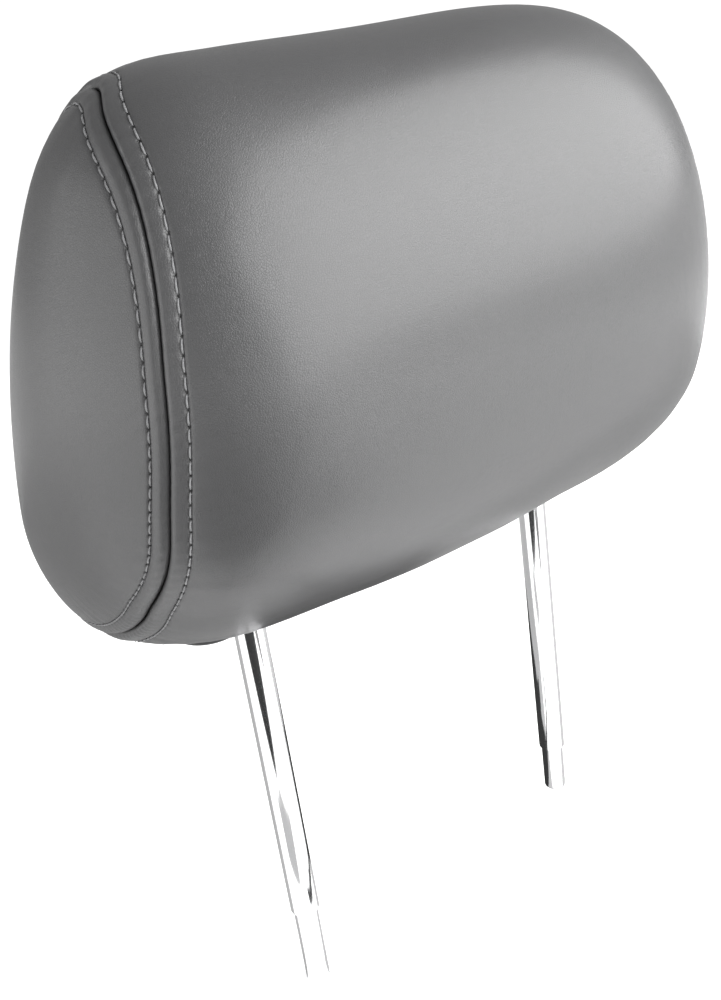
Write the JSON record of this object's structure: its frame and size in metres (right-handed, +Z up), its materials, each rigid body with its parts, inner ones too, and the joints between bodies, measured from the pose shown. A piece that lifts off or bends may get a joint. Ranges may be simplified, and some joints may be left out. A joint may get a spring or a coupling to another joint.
{
  "type": "head restraint",
  "caption": "Padded leather-covered head restraint on chromed posts with slim pilot ends; post spacing adjusts on a hidden rail; zipped cover.",
  "frame": {"origin": "midway between the two post axes, level with the mouths of the seat's sleeves when the restraint stands at mid height (70 mm above the posts' lower shoulders)", "axes": "+Z up along the posts, -Y towards the head, +X to the right when facing the head side"},
  "size_m": [0.2708, 0.1355, 0.3678],
  "materials": {
    "leather_panel": "fine-grained satin",
    "foam": "open-cell moulded foam",
    "core_plastic": "moulded ABS",
    "zinc_screw": "zinc plated",
    "rail_steel": "black e-coat",
    "black_plastic": "fine spark texture",
    "black_screw": "black zinc",
    "zip_tape": "woven polyester",
    "zip_nylon": "moulded nylon",
    "zip_metal": "gunmetal plate",
    "post_chrome": "polished chrome plate",
    "bush_plastic": "acetal",
    "pad_nylon": "natural nylon"
  },
  "bodies": {
    "cushion": {"cover_wrap": "leather_panel", "cover_side_left": "leather_panel", "cover_side_right": "leather_panel", "foam_bun": "foam", "core_front": "core_plastic", "core_rear": "core_plastic", "core_screws": "zinc_screw", "cross_rail": "rail_steel", "rail_bolts": "zinc_screw", "rail_nuts": "zinc_screw", "base_trim": "black_plastic", "trim_screws": "black_screw", "zip_tape_front": "zip_tape", "zip_tape_rear": "zip_tape", "zip_teeth_front": "zip_nylon", "zip_teeth_rear": "zip_nylon", "zip_stops": "zip_metal"},
    "left_post_assembly": {"left_post": "post_chrome", "left_guide_bush": "bush_plastic", "left_carriage": "rail_steel", "left_post_nut": "zinc_screw", "left_glide_pad": "pad_nylon"},
    "right_post_assembly": {"right_post": "post_chrome", "right_guide_bush": "bush_plastic", "right_carriage": "rail_steel", "right_post_nut": "zinc_screw", "right_glide_pad": "pad_nylon"},
    "zip_slider_body": {"zip_slider": "zip_metal"},
    "zip_pull_tab": {"zip_pull": "zip_metal"}
  },
  "joints": [
    {"name": "left_post_spacing", "type": "slide", "parent": "cushion", "child": "left_post_assembly", "axis": [-1, 0, 0], "range_m": [-0.018, 0.01]},
    {"name": "right_post_spacing", "type": "slide", "parent": "cushion", "child": "right_post_assembly", "axis": [1, 0, 0], "range_m": [-0.018, 0.01]},
    {"name": "zip_run", "type": "slide", "parent": "cushion", "child": "zip_slider_body", "axis": [-1, 0, 0], "range_m": [0, 0.166]},
    {"name": "zip_pull_swing", "type": "hinge", "parent": "zip_slider_body", "child": "zip_pull_tab", "pos_m": [0.0835, 0.034, 0.0697], "axis": [0, 1, 0], "range_deg": [-70, 70]}
  ]
}
